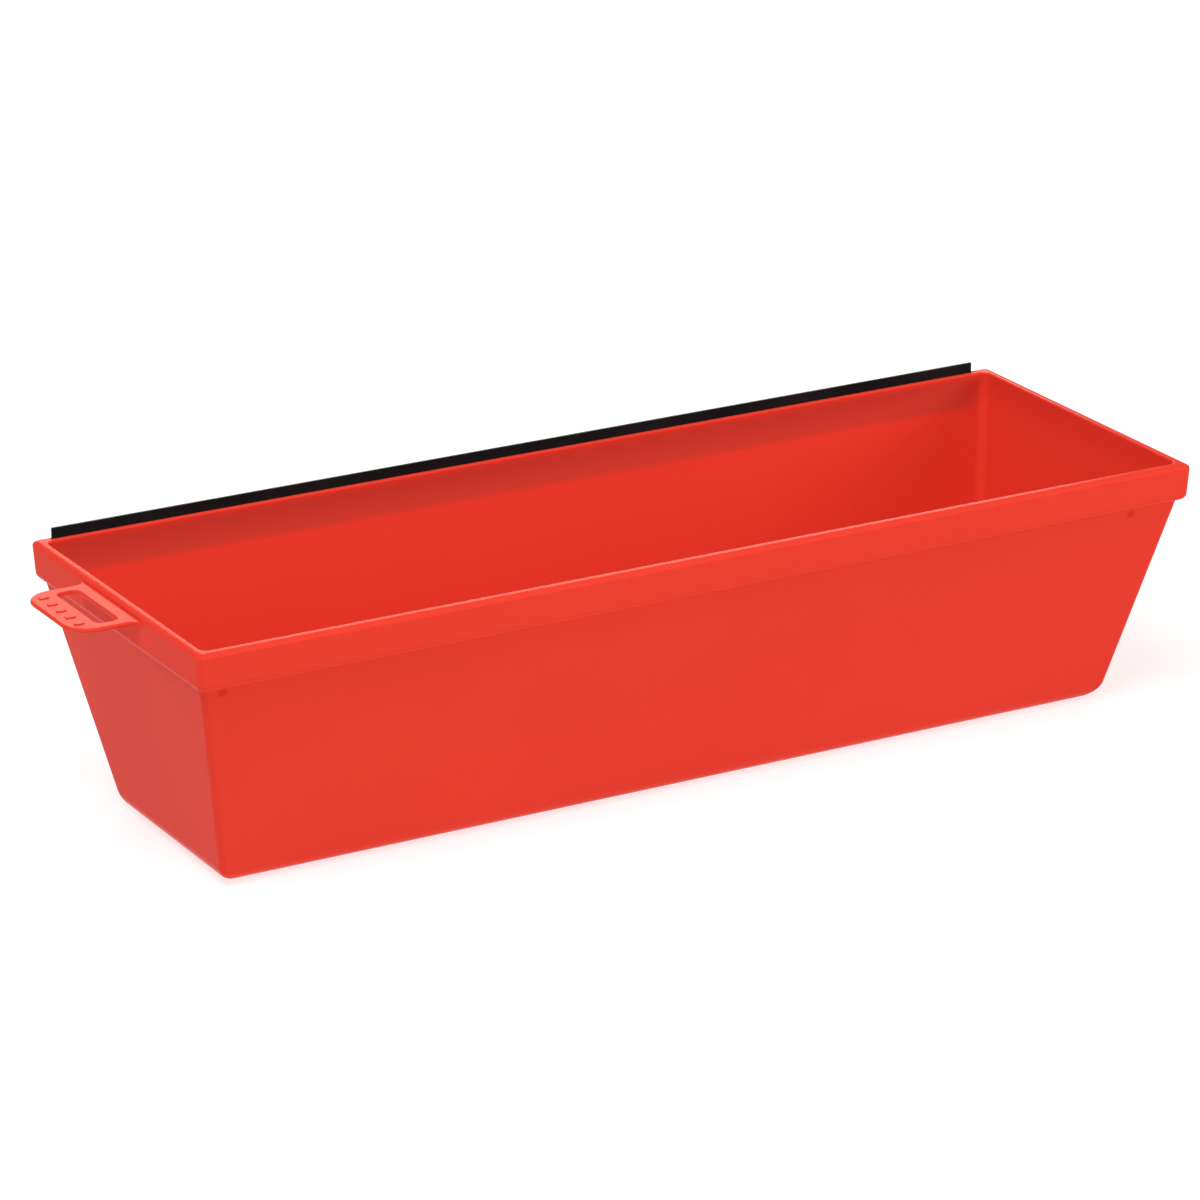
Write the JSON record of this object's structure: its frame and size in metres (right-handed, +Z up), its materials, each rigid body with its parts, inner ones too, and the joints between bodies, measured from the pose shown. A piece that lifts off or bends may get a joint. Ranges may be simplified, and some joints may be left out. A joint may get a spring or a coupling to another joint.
{
  "type": "mud pan",
  "caption": "Tapered plastic tub for drywall joint compound, with a stiff rim band, a slotted hang tab and a steel wiping strip standing in the rear rim.",
  "frame": {"origin": "middle of the flat underside that the pan stands on", "axes": "+X along the pan's length away from the hang tab, +Y towards the rim that holds the wiping strip, +Z up out of the tub"},
  "size_m": [0.377, 0.1212, 0.0892],
  "materials": {
    "pan_plastic": "satin moulded polypropylene, orange red",
    "strip_steel": "black oxide on spring steel, rubbed bright along the top edge"
  },
  "bodies": {
    "tub": {"pan": "pan_plastic"},
    "strip": {"wiping_strip": "strip_steel"}
  },
  "joints": [
    {"name": "strip_lift", "type": "slide", "parent": "tub", "child": "strip", "axis": [0, 0, 1], "range_m": [0, 0.02]}
  ]
}
